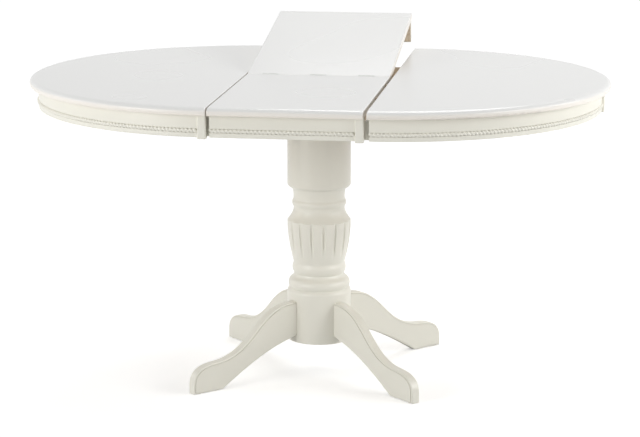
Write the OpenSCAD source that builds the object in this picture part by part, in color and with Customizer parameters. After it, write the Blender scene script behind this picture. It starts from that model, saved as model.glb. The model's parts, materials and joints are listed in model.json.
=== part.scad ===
// Round pedestal dining table that extends with a fold-over leaf.
// The origin is on the floor, on the axis of the column.
// +X runs along the extension, -Y is the front, +Z is up.
// The halves stand open for the leaf, and the rear half of the leaf is lifted on its hinges.

/* [Table top] */
// Height of the table top above the floor
table_h = 750; // [720:1:780]
// Radius of the half-round tops at their widest
round_r = 532.5; // [500:0.5:580]
// Width of the insert leaf
leaf_w = 355; // [320:1:400]
// Thickness of the top boards
top_t = 19; // [18:0.5:25]
// Height of the rounded upper edge of the top
edge_round = 9.5; // [4:0.5:11]
// Depth of the rounded upper edge of the top, measured inwards
edge_run = 17; // [8:0.5:20]
// Radius of the cove under the edge of the top
edge_cove = 5.5; // [2:0.5:6.5]
// Open joint between the left half and the leaf
left_gap = 3; // [1.6:0.1:4]
// Open joint between the leaf and the right half
right_gap = 8; // [4:0.5:9]
// Angle at which the rear half of the leaf stands lifted
leaf_lift = 10.5; // [0:0.1:60]
// Diameter of the alignment dowels
dowel_d = 8; // [6:0.5:9]
// Length of each alignment dowel that stands out of its edge
dowel_out = 10; // [8:0.5:14]
// Length of each alignment dowel inside its own board
dowel_in = 15; // [10:0.5:25]
// Distance of the first row of dowels in front of the centre line
dowel_y_inner = 90; // [70:1:140]
// Distance of the second row of dowels from the front edge of the top
dowel_edge = 240; // [180:1:290]

/* [Aprons] */
// How far the aprons stand in from the edge of the top
apron_inset = 21; // [20:0.5:35]
// Height of the aprons
apron_h = 52.5; // [48:0.5:58]
// Thickness of the aprons
apron_t = 18; // [15:0.5:22]
// Diameter of the rope moulding
rope_d = 9.8; // [8:0.2:12]
// How far the rope moulding stands proud of the apron
rope_proud = 3.4; // [2:0.2:5]
// Depth of the groove that the rope moulding is glued into
rope_groove = 4; // [3:0.2:6]
// Height of the plain band below the rope moulding
lower_band = 10.8; // [8:0.2:14]
// Width of a cover block over an apron joint
block_w = 20; // [16:0.5:26]
// How far a cover block stands proud of the apron
block_proud = 6; // [4:0.5:8]
// How far a cover block reaches below the apron
block_drop = 3; // [1:0.5:5]
// Radius on the front corners of a cover block
block_round = 3.5; // [1:0.5:5]
// Set-back of the left end blocks from the joint edge
left_setback = 2; // [1:0.5:4]
// Set-back of the leaf aprons from the left edge of the leaf
leaf_setback = 2.5; // [1:0.5:4]
// Set-back of the right aprons from the joint edge
right_setback = 3.5; // [1:0.5:6]
// Thickness of the battens behind the apron joints
batten_t = 20; // [14:0.5:26]
// Length of a batten behind the apron of its own half
batten_in = 20; // [14:1:28]
// Length by which a batten reaches behind the apron of the leaf
batten_past = 8; // [3:0.5:12]
// Room between a batten and the underside of the top
batten_room = 8; // [2:0.5:14]

/* [Column] */
// Radius of the plain cylinder at the top of the column
column_r = 79.3; // [75:0.1:84]
// Radius of the plain cylinder at the base of the column
base_r = 80; // [76:0.1:86]
// Height of the underside of the column above the floor
base_z = 82; // [60:1:90]
// Height at which the plain base ends
base_top = 204; // [200:0.5:208]
// Height at which the vase starts
vase_z = 280; // [277:0.5:283]
// Height of the rim at the top of the vase
vase_top = 388; // [384:0.5:391]
// Height at which the plain cylinder at the top starts
drum_z = 478.5; // [477:0.5:500]
// Height of the top of the column
column_top = 604; // [598:1:610]
// Radius of the bore for the nuts inside the base of the column
core_r = 44; // [38:1:50]
// Depth of the bore inside the base of the column
core_depth = 128; // [110:1:140]
// Radius at the necks between the turned rings
neck_r = 62.6; // [60:0.1:65]
// Number of flutes around the vase
flute_count = 16; // [12:1:24]
// Radius of the cutter that makes a flute
flute_r = 3.6; // [2:0.1:5]
// Turn of the first flute from the X axis
flute_turn = 16.8; // [0:0.1:22]

/* [Legs] */
// Distance of the tip of a leg from the axis of the column
leg_reach = 388; // [360:1:420]
// Thickness of a leg
leg_t = 26; // [22:0.5:32]
// Height of the top edge of a leg at the column
hip_z = 188; // [180:1:196]
// Height of the underside of a leg at the column
under_z = 101; // [96:1:108]
// Distance of the heel of a leg from the axis of the column
heel_r = 303; // [285:1:315]
// Height of a leg at its instep
instep_z = 71.5; // [64:0.5:80]
// Distance of the instep from the axis of the column
instep_r = 324; // [310:1:335]
// Depth of the mortise that the leg stands in
mortise_depth = 8; // [5:0.5:12]
// Diameter of the bolts that hold the legs
leg_bolt_d = 8; // [6:0.5:10]
// Height of the lower leg bolts
lower_bolt_z = 122; // [115:1:130]
// Height of the upper leg bolts
upper_bolt_z = 165; // [155:1:172]
// Diameter of a foot glide
glide_d = 20; // [14:0.5:24]
// Thickness of a foot glide
glide_t = 4; // [3:0.5:6]
// How far a foot glide lifts the foot off the floor
glide_stand = 0.8; // [0.5:0.1:2]

/* [Frame] */
// Distance of the inner face of a fixed rail from the centre line
rail_y = 275; // [262:1:285]
// Thickness of the fixed rails and of the runners
rail_t = 20; // [18:0.5:22]
// Height of the fixed rails
rail_h = 60; // [56:1:64]
// Half the length of the fixed rails
rail_reach = 380; // [350:1:400]
// Room between the end of a runner and the apron
runner_room = 24; // [10:1:60]
// Height of the tongue that slides in the rail
tongue_h = 10; // [8:0.5:12]
// Depth of the tongue that slides in the rail
tongue_depth = 8; // [6:0.5:9]
// Height of the tongue's centre above the underside of the runner
tongue_up = 11; // [9:0.5:12]
// Thickness of the cross rails
cross_t = 22; // [20:0.5:26]
// Height of the bearers on the column
bearer_h = 43; // [38:1:46]
// Width of the bearers on the column
bearer_w = 44; // [36:1:50]
// Distance of the bearers' centre lines from the axis
bearer_y = 58; // [50:1:62]
// Thickness of the steel plate on the column
plate_t = 3; // [2:0.5:5]
// Running clearance of the wooden slides
slide_gap = 0.3; // [0.3:0.05:0.6]
// Set-back of the runners from the joint edge
runner_back = 7; // [6:0.5:12]
// Set-back of the cross rails from the joint edge
cross_back = 5; // [3:0.5:8]

/* [Synchronising gear] */
// Module of the gear teeth
gear_module = 2; // [1.5:0.1:2.2]
// Number of teeth on a pinion
pinion_teeth = 14; // [14:2:16]
// Thickness of the racks
rack_t = 8; // [6:0.5:10]
// Height of the solid bar of a rack above its pitch line
rack_bar = 12; // [9:0.5:12]
// Length by which a rack reaches past the pinion
rack_past = 40; // [34:1:48]
// Length by which a rack lies on its runner
rack_lap = 60; // [45:1:80]
// Diameter of the pinion axle
axle_d = 8; // [6:0.5:9]
// Play taken off each flank of the teeth
flank_play = 0.15; // [0.1:0.01:0.3]

/* [Leaf hinges] */
// Length of a leaf hinge
hinge_l = 40; // [34:1:60]
// Distance of the outer leaf hinges from the middle one
hinge_step = 120; // [90:1:135]
// Thickness of a hinge plate
hinge_plate_t = 1.2; // [1:0.1:1.6]
// Outer radius of a hinge knuckle
knuckle_r = 2; // [1.7:0.1:2.4]
// Diameter of a hinge pin
hinge_pin_d = 1.8; // [1.4:0.1:2]
// Gap between the two halves of the leaf
fold_gap = 0.6; // [0.4:0.1:1]

/* [Turn buttons] */
// Length of a turn button from its pivot
button_l = 55; // [45:1:60]
// Width of a turn button
button_w = 14; // [10:0.5:18]
// Distance of the turn buttons' pivots from the inner face of the apron
button_edge = 93.5; // [80:0.5:110]
// Distance of a turn button's pivot from the joint edge of its top
button_in = 26; // [22:1:32]

/* [Hidden] */

// Roundness of the round parts
$fn = 96;

// General fits
running_fit = 0.05;
dowel_fit = 0.1;
glue_fit = 0.2;
screw_fit = 0.2;
seat_gap = 0.3;
overcut = 1;

// Plan of the top
half_x = (leaf_w + left_gap + right_gap) / 2;
leaf_x0 = -half_x + left_gap;
leaf_x1 = half_x - right_gap;
leaf_mid = (leaf_x0 + leaf_x1) / 2;
under_top = table_h - top_t;
cove_in = 0.5;
ellipse_pull = 0.55;

// Aprons, with radii measured from the centre of each half-round top
apron_r = round_r - apron_inset;
apron_back = apron_r - apron_t;
apron_z = under_top - apron_h;
rope_z = apron_z + lower_band + rope_d / 2;
rope_r = apron_r + rope_proud - rope_d / 2;
block_back = apron_back + rope_groove;
block_front = apron_r + block_proud;
block_z = apron_z - block_drop;
leaf_block_x = leaf_x1 - block_w;
left_start = half_x + left_setback;
left_rope_start = left_start + block_w + glue_fit;
right_start = half_x + right_setback;
batten_y = sqrt(pow(apron_back, 2) - pow(batten_in, 2)) - glue_fit - batten_t;

// Heights and places in the frame
plate_z = column_top;
bearer_z = plate_z + plate_t;
cross_z = bearer_z + bearer_h;
frame_top = under_top - seat_gap;
rail_z = under_top - rail_h;
rail_out = rail_y + rail_t;
runner_in = rail_out + slide_gap;
runner_out = runner_in + rail_t;
runner_x = half_x + runner_back;
runner_l = sqrt(pow(apron_back, 2) - pow(runner_out, 2)) - runner_back - runner_room;
cross_in = half_x + cross_back;
tongue_z = rail_z + tongue_up;
groove_depth = tongue_depth + slide_gap;
groove_h = tongue_h + 2 * slide_gap;
bearer_reach = cross_in + cross_t;
plate_half_x = 62;
plate_half_y = bearer_y + bearer_w / 2 - 8;

// Gear
pitch_r = gear_module * pinion_teeth / 2;
tooth_pitch = PI * gear_module;
pressure = 20;
addendum = 0.8 * gear_module;
dedendum = 1.2 * gear_module;
pinion_z = rail_z + pitch_r + rack_bar;
gear_back = runner_out;
spacer_r = 8;
axle_deep = 14;
axle_head_t = 4;
axle_l = gear_back + rack_t - rail_out + axle_deep;
pinion_play = 0.4;
rack_start = -runner_x + 2;
tooth_lap = 0.1;

// Leaf hinges turn about a line just above the top
pivot_rise = 0.25;
pivot_z = table_h + pivot_rise;
hinge_drop = 16;
knuckle_room = 0.4;
knuckle_gap = 0.3;
knuckle_l = 0.3 * hinge_l;
plate_top = table_h - knuckle_r - 0.6;

// Turn buttons
button_t = 3;
button_plate_t = 1.2;
button_play = 0.6;
rivet_d = 6;
rivet_head_r = 5;
rivet_head_t = 1.5;
button_x = half_x + button_in;
button_y = apron_back - button_edge;
button_z = under_top - button_plate_t - button_play - button_t;
rivet_z = button_z - button_play - rivet_head_t;
keeper_t = 2;
keeper_w = 25;
keeper_foot = 14;
keeper_in = 5;
keeper_lip = 4;
keeper_room = 1.5;

// Dowels
dowel_rows = [-dowel_y_inner, dowel_edge - round_r];
dowel_z = under_top + top_t / 2;
dowel_end_gap = 1;
dowel_room = 4.5;
dowel_l = dowel_out + dowel_in - dowel_end_gap;

// Fasteners
screw_r = 2.2;
screw_head_r = 4;
screw_head_t = 3;
leg_bolt_deep = 55;
leg_bolt_tail = 14;
bolt_end_gap = 1;
nut_tail = 10;
nut_t = 6.5;
nut_d = 1.8 * leg_bolt_d;
nut_flange_t = 1.6;
nut_flange_d = 2.2 * leg_bolt_d;
plate_screw_x = 45;
plate_screw_l = 45;
plate_screw_end = 2;
bearer_seat = 24;
rail_screw_l = 35;
rail_screw_sink = 0.5;
rail_screw_z = [rail_z + 32, rail_z + 50];
runner_screw_in = 40;
runner_screw_bite = 12;
runner_screw_l = rail_h + runner_screw_bite;
runner_screw_x = [runner_screw_in, runner_l / 2, runner_l - runner_screw_in];

// ---- helpers ----

// Points on a cubic curve, without its last point
function curve(p0, p1, p2, p3, n = 8) = [
    for (i = [0 : n - 1])
        let (t = i / n, u = 1 - t)
            u * u * u * p0 + 3 * u * u * t * p1 + 3 * u * t * t * p2 + t * t * t * p3
];

// Points on an arc from p to q that bulges by s to the right of the way, without its last point
function bow(p, q, s, n = 8) =
    let (
        d = q - p,
        len = norm(d),
        out = [d[1], -d[0]] / len,
        r = (len * len / 4 + s * s) / (2 * abs(s)),
        half = asin(len / (2 * r)),
        c = (p + q) / 2 + out * (s - sign(s) * r)
    )
    [
        for (i = [0 : n - 1])
            let (a = half * (2 * i / n - 1))
                c + out * sign(s) * r * cos(a) + d / len * r * sin(a)
    ];

// A 2D outline stood up so that its x runs towards -Y and its y runs up, t thick from x0 to x0 + t
module along_x(x0, t) {
    translate([x0 + t, 0, 0])
        rotate([90, 0, -90])
            linear_extrude(t)
                children();
}

// The same outline turned about the axis of the right half-round top
module around_half() {
    translate([half_x, 0, 0])
        rotate(-90)
            rotate_extrude(angle = 180)
                children();
}

// The rear half of the leaf, drawn flat and lifted about its hinge line
module lifted() {
    translate([0, 0, pivot_z])
        rotate([leaf_lift, 0, 0])
            translate([0, 0, -pivot_z])
                children();
}

module front_and_rear() {
    children();
    mirror([0, 1, 0])
        children();
}

module left_and_right() {
    children();
    mirror([1, 0, 0])
        children();
}

// ---- outlines, with x measured outwards and y measured up from the floor ----

module top_section(start) {
    edge_low = table_h - edge_round;
    difference() {
        polygon(concat(
            [[start, under_top], [round_r, under_top]],
            curve(
                [round_r, edge_low],
                [round_r, edge_low + ellipse_pull * edge_round],
                [round_r - (1 - ellipse_pull) * edge_run, table_h],
                [round_r - edge_run, table_h],
                10
            ),
            [[round_r - edge_run, table_h], [start, table_h]]
        ));
        translate([round_r - cove_in, under_top])
            circle(r = edge_cove);
    }
}

module apron_section() {
    difference() {
        translate([apron_back, apron_z])
            square([apron_t, apron_h]);
        translate([apron_r - rope_groove, rope_z - rope_d / 2 - glue_fit])
            square([rope_groove + overcut, rope_d + 2 * glue_fit]);
    }
}

module rope_section() {
    intersection() {
        translate([rope_r, rope_z])
            circle(d = rope_d);
        translate([apron_r - rope_groove + glue_fit, rope_z - rope_d])
            square([rope_d, 2 * rope_d]);
    }
}

// Plan of a cover block whose front looks towards -Y, with its left side at x = 0
module block_plan() {
    translate([0, -block_front + block_round])
        square([block_w, block_front - block_round - block_back]);
    translate([block_round, -block_front])
        square([block_w - 2 * block_round, block_round + overcut]);
    for (x = [block_round, block_w - block_round])
        translate([x, -block_front + block_round])
            circle(r = block_round, $fn = 48);
}

module cover_block() {
    translate([0, 0, block_z])
        linear_extrude(under_top - block_z)
            block_plan();
}

// Room for a cover block, cut out of aprons and rope mouldings
module block_room() {
    translate([-glue_fit, -block_front - overcut, block_z])
        cube([block_w + 2 * glue_fit, block_front + overcut - block_back + glue_fit, under_top - block_z]);
}

module at_tip() {
    translate([half_x, 0, 0])
        rotate(90)
            translate([-block_w / 2, 0, 0])
                children();
}

// ---- column ----

base_round = 3;
shoulder_r = base_r - 5.7;
ring_r = neck_r + 7.4;
collar_r = neck_r + 1.5;
bead_z = vase_top + 36;
bead_h = 17;
cornice_r = collar_r + 5.4;
column_section = concat(
    [[core_r, base_z]],
    bow([base_r - base_round, base_z], [base_r, base_z + base_round], 0.9, 3),
    bow([base_r, base_top], [shoulder_r + 0.7, base_top + 11], 1.4, 3),
    bow([shoulder_r, base_top + 12.5], [ring_r, vase_z - 38.5], 4.8, 7),
    bow([ring_r, vase_z - 38.5], [neck_r, vase_z - 28.5], -1.4, 3),
    bow([neck_r, vase_z - 27.5], [collar_r - 0.2, vase_z - 1], 3.9, 7),
    bow([collar_r, vase_z + 1], [column_r, vase_top - 13], 2.7, 8),
    [[column_r, vase_top - 13]],
    bow([column_r, vase_top], [collar_r, vase_top + 27], -1.9, 6),
    [[collar_r, vase_top + 27], [collar_r, bead_z]],
    bow([collar_r + 1.2, bead_z], [collar_r + 1.2, bead_z + bead_h], 2.8, 6),
    [[collar_r + 1.2, bead_z + bead_h], [collar_r, bead_z + bead_h]],
    bow([collar_r, drum_z - 28], [cornice_r, drum_z - 12.5], -1, 4),
    [[cornice_r, drum_z - 12.5]],
    bow([cornice_r + 2, drum_z - 11.5], [column_r, drum_z], 1.5, 5),
    [[column_r, drum_z], [column_r, column_top], [0, column_top]],
    [[0, base_z + core_depth], [core_r, base_z + core_depth]]
);

// Straight cutter that runs down the vase and leaves it at both ends
flute_top = [column_r + 1.9, vase_top + 3];
flute_foot = [neck_r + 8, vase_z + 10];

module flute() {
    run = flute_top - flute_foot;
    translate([flute_foot[0], 0, flute_foot[1]])
        rotate([0, atan2(run[0], run[1]), 0])
            cylinder(r = flute_r, h = norm(run), $fn = 32);
}

// The mortises reach a little below the legs, whose undersides fall away from the column
mortise_z = under_z - 2.2;

module leg_directions() {
    for (turn = [45 : 90 : 315])
        rotate(turn)
            children();
}

module plate_screw_places() {
    for (x = [-plate_screw_x, plate_screw_x])
        for (y = [-bearer_y, bearer_y])
            translate([x, y, 0])
                children();
}

module column() {
    color("ivory")
        difference() {
            rotate_extrude()
                polygon(column_section);
            for (i = [0 : flute_count - 1])
                rotate(flute_turn + i * 360 / flute_count)
                    flute();
            leg_directions() {
                translate([base_r - mortise_depth, -leg_t / 2 - glue_fit, mortise_z])
                    cube([mortise_depth + overcut, leg_t + 2 * glue_fit, hip_z + glue_fit - mortise_z]);
                for (z = [lower_bolt_z, upper_bolt_z])
                    translate([core_r - overcut, 0, z])
                        rotate([0, 90, 0])
                            cylinder(d = leg_bolt_d + 2 * screw_fit, h = base_r - core_r, $fn = 32);
            }
            plate_screw_places()
                translate([0, 0, column_top - plate_screw_l])
                    cylinder(r = screw_r + screw_fit, h = plate_screw_l + overcut, $fn = 32);
        }
}

// ---- legs ----

leg_in = base_r - mortise_depth + glue_fit;
waist = [203, 130.5];
instep = [instep_r, instep_z];
toe_z = 24;
leg_section = concat(
    [[leg_in, under_z], [leg_in, hip_z]],
    curve([base_r + 10, hip_z], [base_r + 54, hip_z], waist + [-38, 38], waist, 12),
    curve(waist, waist + [38, -38], instep + [-50, 2], instep, 12),
    curve(instep, instep + [28, -2], [leg_reach, instep_z - 9], [leg_reach, toe_z], 14),
    [[leg_reach, toe_z], [leg_reach, glide_stand]],
    curve([heel_r, glide_stand], [heel_r - 83, 52], [leg_in + 78, under_z - 13], [leg_in, under_z], 12)
);

glide_edge = glide_d / 2 + 6;
glide_places = [heel_r + glide_edge, leg_reach - glide_edge];

// A leg that points along +X
module leg_form() {
    difference() {
        translate([0, leg_t / 2, 0])
            rotate([90, 0, 0])
                linear_extrude(leg_t)
                    polygon(leg_section);
        for (r = glide_places)
            translate([r, 0, -overcut])
                cylinder(d = glide_d + 2 * glue_fit, h = glide_t + overcut);
        for (z = [lower_bolt_z, upper_bolt_z])
            translate([leg_in - overcut, 0, z])
                rotate([0, 90, 0])
                    cylinder(d = leg_bolt_d + 2 * screw_fit, h = leg_bolt_deep + overcut, $fn = 32);
    }
}

module leg_front_left() {
    color("ivory")
        rotate(225)
            leg_form();
}

module leg_front_right() {
    color("ivory")
        rotate(315)
            leg_form();
}

module leg_rear_left() {
    color("ivory")
        rotate(135)
            leg_form();
}

module leg_rear_right() {
    color("ivory")
        rotate(45)
            leg_form();
}

bolt_start = core_r - leg_bolt_tail;
bolt_l = leg_in + leg_bolt_deep - bolt_end_gap - bolt_start;

module leg_bolts() {
    color("silver")
        leg_directions()
            for (z = [lower_bolt_z, upper_bolt_z])
                translate([bolt_start, 0, z])
                    rotate([0, 90, 0])
                        cylinder(d = leg_bolt_d, h = bolt_l, $fn = 32);
}

module leg_nuts() {
    color("silver")
        leg_directions()
            for (z = [lower_bolt_z, upper_bolt_z])
                translate([core_r - nut_tail, 0, z])
                    rotate([0, 90, 0])
                        difference() {
                            union() {
                                cylinder(d = nut_d, h = nut_t, $fn = 6);
                                translate([0, 0, nut_t])
                                    cylinder(d = nut_flange_d, h = nut_flange_t, $fn = 48);
                            }
                            translate([0, 0, -overcut])
                                cylinder(d = leg_bolt_d + 2 * running_fit, h = nut_tail, $fn = 32);
                        }
}

module foot_glides() {
    color("dimgray")
        leg_directions()
            for (r = glide_places)
                translate([r, 0, 0])
                    cylinder(d = glide_d, h = glide_t);
}

// ---- underframe ----

module column_plate() {
    color("dimgray")
        difference() {
            translate([-plate_half_x, -plate_half_y, plate_z])
                cube([2 * plate_half_x, 2 * plate_half_y, plate_t]);
            plate_screw_places()
                translate([0, 0, plate_z - overcut])
                    cylinder(r = screw_r + screw_fit, h = plate_t + 2 * overcut, $fn = 32);
        }
}

// Screws that go down through the bearers and the plate into the column
plate_screw_z = plate_z - plate_screw_l + plate_screw_end;

module plate_screws() {
    color("silver")
        plate_screw_places() {
            translate([0, 0, plate_screw_z])
                cylinder(r = screw_r, h = bearer_z + bearer_seat - plate_screw_z, $fn = 32);
            translate([0, 0, bearer_z + bearer_seat])
                cylinder(r = screw_head_r, h = screw_head_t, $fn = 32);
        }
}

module bearer() {
    difference() {
        translate([-bearer_reach, bearer_y - bearer_w / 2, bearer_z])
            cube([2 * bearer_reach, bearer_w, bearer_h]);
        plate_screw_places() {
            translate([0, 0, bearer_z - overcut])
                cylinder(r = screw_r + screw_fit, h = bearer_h, $fn = 32);
            translate([0, 0, bearer_z + bearer_seat - glue_fit])
                cylinder(r = screw_head_r + 1, h = bearer_h, $fn = 32);
        }
    }
}

module bearer_front() {
    color("burlywood")
        mirror([0, 1, 0])
            bearer();
}

module bearer_rear() {
    color("burlywood")
        bearer();
}

module cross_rail() {
    difference() {
        translate([cross_in, -rail_y, cross_z])
            cube([cross_t, 2 * rail_y, frame_top - cross_z]);
        front_and_rear()
            for (z = rail_screw_z)
                translate([cross_in + cross_t / 2, rail_y - rail_screw_l, z])
                    rotate([-90, 0, 0])
                        cylinder(r = screw_r + screw_fit, h = rail_screw_l + overcut, $fn = 32);
    }
}

module cross_rail_left() {
    color("burlywood")
        mirror([1, 0, 0])
            cross_rail();
}

module cross_rail_right() {
    color("burlywood")
        cross_rail();
}

// The rear rail, with a groove along its outer face for the runners' tongues
module fixed_rail() {
    difference() {
        translate([-rail_reach, rail_y, rail_z])
            cube([2 * rail_reach, rail_t, frame_top - rail_z]);
        translate([-rail_reach - overcut, rail_out - groove_depth, tongue_z - groove_h / 2])
            cube([2 * rail_reach + 2 * overcut, groove_depth + overcut, groove_h]);
        translate([0, rail_out - axle_deep, pinion_z])
            rotate([-90, 0, 0])
                cylinder(d = axle_d + 2 * running_fit, h = axle_deep + overcut);
        left_and_right()
            for (z = rail_screw_z) {
                translate([cross_in + cross_t / 2, rail_y - overcut, z])
                    rotate([-90, 0, 0])
                        cylinder(r = screw_r + screw_fit, h = rail_t + 2 * overcut, $fn = 32);
                translate([cross_in + cross_t / 2, rail_out - screw_head_t - rail_screw_sink, z])
                    rotate([-90, 0, 0])
                        cylinder(r = screw_head_r + screw_fit, h = screw_head_t + overcut, $fn = 32);
            }
    }
}

module fixed_rail_front() {
    color("burlywood")
        mirror([0, 1, 0])
            fixed_rail();
}

module fixed_rail_rear() {
    color("burlywood")
        fixed_rail();
}

module rail_screws() {
    color("silver")
        front_and_rear()
            left_and_right()
                for (z = rail_screw_z)
                    translate([cross_in + cross_t / 2, rail_out - rail_screw_sink, z])
                        rotate([90, 0, 0]) {
                            cylinder(r = screw_head_r, h = screw_head_t, $fn = 32);
                            cylinder(r = screw_r, h = rail_t + rail_screw_l - screw_head_t, $fn = 32);
                        }
}

module pinion_axles() {
    color("silver")
        front_and_rear()
            translate([0, rail_out - axle_deep + glue_fit, pinion_z])
                rotate([-90, 0, 0]) {
                    cylinder(d = axle_d, h = axle_l);
                    translate([0, 0, axle_l])
                        cylinder(r = axle_d, h = axle_head_t, $fn = 6);
                }
}

module axle_spacers() {
    color("white")
        front_and_rear()
            translate([0, rail_out + glue_fit, pinion_z])
                rotate([-90, 0, 0])
                    difference() {
                        cylinder(r = spacer_r, h = gear_back - rail_out - glue_fit);
                        translate([0, 0, -overcut])
                            cylinder(d = axle_d + 2 * running_fit, h = gear_back - rail_out + 2 * overcut);
                    }
}

// ---- the leaf ----

// A dowel hole that starts at x and runs into a board, towards +X for way = 1
module dowel_hole(x, way, depth) {
    for (y = dowel_rows)
        translate([x - way * overcut, y, dowel_z])
            rotate([0, way * 90, 0])
                cylinder(d = dowel_d + 2 * dowel_fit, h = depth + overcut, $fn = 48);
}

module hinge_places() {
    for (i = [-1 : 1])
        translate([leaf_mid + i * hinge_step - hinge_l / 2, 0, 0])
            children();
}

// Room for the hinges in the front half of the leaf
module hinge_room() {
    hinge_places() {
        translate([-glue_fit, -fold_gap / 2 - hinge_plate_t, table_h - hinge_drop - glue_fit])
            cube([hinge_l + 2 * glue_fit, hinge_plate_t + overcut, hinge_drop + overcut]);
        translate([-seat_gap, 0, pivot_z])
            rotate([0, 90, 0])
                cylinder(r = knuckle_r + knuckle_room, h = hinge_l + 2 * seat_gap, $fn = 48);
    }
}

module leaf_half() {
    difference() {
        along_x(leaf_x0, leaf_w)
            top_section(fold_gap / 2);
        hinge_room();
    }
}

module leaf_apron() {
    difference() {
        along_x(leaf_x0 + leaf_setback, leaf_w - leaf_setback)
            apron_section();
        translate([leaf_block_x, 0, 0])
            block_room();
        translate([leaf_x1, -block_front - overcut, block_z])
            cube([overcut, block_front, under_top]);
    }
}

module leaf_rope() {
    along_x(leaf_x0 + leaf_setback, leaf_block_x - glue_fit - leaf_x0 - leaf_setback)
        rope_section();
}

module leaf_block() {
    translate([leaf_block_x, 0, 0])
        cover_block();
}

module front_leaf() {
    color("whitesmoke")
        difference() {
            leaf_half();
            dowel_hole(leaf_x0, 1, dowel_in);
            dowel_hole(leaf_x1, -1, dowel_out - right_gap + dowel_room);
        }
}

module front_leaf_apron() {
    color("ivory")
        leaf_apron();
}

module front_leaf_rope() {
    color("ivory")
        leaf_rope();
}

module front_leaf_block() {
    color("ivory")
        leaf_block();
}

module leaf_dowels() {
    color("burlywood")
        for (y = dowel_rows)
            translate([leaf_x0 - dowel_out, y, dowel_z])
                rotate([0, 90, 0])
                    cylinder(d = dowel_d, h = dowel_l, $fn = 48);
}

module rear_leaf() {
    color("whitesmoke")
        lifted()
            mirror([0, 1, 0])
                leaf_half();
}

module rear_leaf_apron() {
    color("ivory")
        lifted()
            mirror([0, 1, 0])
                leaf_apron();
}

module rear_leaf_rope() {
    color("ivory")
        lifted()
            mirror([0, 1, 0])
                leaf_rope();
}

module rear_leaf_block() {
    color("ivory")
        lifted()
            mirror([0, 1, 0])
                leaf_block();
}

// ---- leaf hinges ----

// A hinge plate in the front half of the leaf, with knuckles from each [x, length] pair
module hinge_plate(knuckles) {
    difference() {
        union() {
            translate([0, -fold_gap / 2 - hinge_plate_t, table_h - hinge_drop])
                cube([hinge_l, hinge_plate_t, plate_top - table_h + hinge_drop]);
            for (k = knuckles) {
                translate([k[0], -fold_gap / 2 - hinge_plate_t, plate_top - overcut])
                    cube([k[1], hinge_plate_t, pivot_z - plate_top + overcut]);
                translate([k[0], 0, pivot_z])
                    rotate([0, 90, 0])
                        cylinder(r = knuckle_r, h = k[1], $fn = 48);
            }
        }
        translate([-overcut, 0, pivot_z])
            rotate([0, 90, 0])
                cylinder(d = hinge_pin_d + 2 * running_fit, h = hinge_l + 2 * overcut, $fn = 48);
    }
}

module hinge_front_plates() {
    color("gainsboro")
        hinge_places()
            hinge_plate([[0, knuckle_l], [hinge_l - knuckle_l, knuckle_l]]);
}

module hinge_rear_plates() {
    color("gainsboro")
        lifted()
            mirror([0, 1, 0])
                hinge_places()
                    hinge_plate([[knuckle_l + knuckle_gap, hinge_l - 2 * knuckle_l - 2 * knuckle_gap]]);
}

module hinge_pins() {
    color("gainsboro")
        hinge_places()
            translate([0, 0, pivot_z])
                rotate([0, 90, 0])
                    cylinder(d = hinge_pin_d, h = hinge_l, $fn = 48);
}

// ---- turn buttons that hold the leaf level with the halves ----

// A keeper at the left edge of the leaf, open towards the front
module keeper() {
    low = button_z - button_play - keeper_t;
    back = -button_y + button_w / 2 + keeper_room;
    translate([leaf_x0 + keeper_in, back - button_w - keeper_lip, low])
        cube([keeper_w, button_w + keeper_lip + keeper_t, keeper_t]);
    translate([leaf_x0 + keeper_in, back, low])
        cube([keeper_w, keeper_t, under_top - low]);
    translate([leaf_x0 + keeper_in, back, under_top - keeper_t])
        cube([keeper_w, keeper_foot, keeper_t]);
}

module leaf_keepers() {
    color("silver") {
        keeper();
        translate([leaf_x0 + leaf_x1, 0, 0])
            mirror([1, 0, 0])
                keeper();
    }
}

module button_plate() {
    difference() {
        translate([button_x - button_w, -button_y - button_w, under_top - button_plate_t])
            cube([2 * button_w, 2 * button_w, button_plate_t]);
        translate([button_x, -button_y, under_top - button_plate_t - overcut])
            cylinder(d = rivet_d + 2 * running_fit, h = button_plate_t + 2 * overcut, $fn = 48);
    }
}

module button_rivet() {
    translate([button_x, -button_y, rivet_z]) {
        cylinder(r = rivet_head_r, h = rivet_head_t, $fn = 48);
        cylinder(d = rivet_d, h = under_top - rivet_z, $fn = 48);
    }
}

// A turn button parked along the joint, pointing to the front
module turn_button() {
    translate([button_x, -button_y, button_z])
        difference() {
            union() {
                cylinder(d = button_w, h = button_t, $fn = 48);
                translate([-button_w / 2, -button_l + button_w / 2, 0])
                    cube([button_w, button_l - button_w / 2, button_t]);
                translate([0, -button_l + button_w / 2, 0])
                    cylinder(d = button_w, h = button_t, $fn = 48);
            }
            translate([0, 0, -overcut])
                cylinder(d = rivet_d + 2 * running_fit, h = button_t + 2 * overcut, $fn = 48);
        }
}

module left_button_plate() {
    color("silver")
        mirror([1, 0, 0])
            button_plate();
}

module right_button_plate() {
    color("silver")
        button_plate();
}

module left_button_rivet() {
    color("silver")
        mirror([1, 0, 0])
            button_rivet();
}

module right_button_rivet() {
    color("silver")
        button_rivet();
}

module left_turn_button() {
    color("silver")
        mirror([1, 0, 0])
            turn_button();
}

module right_turn_button() {
    color("silver")
        turn_button();
}

// ---- runners, racks and pinions ----

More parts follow.
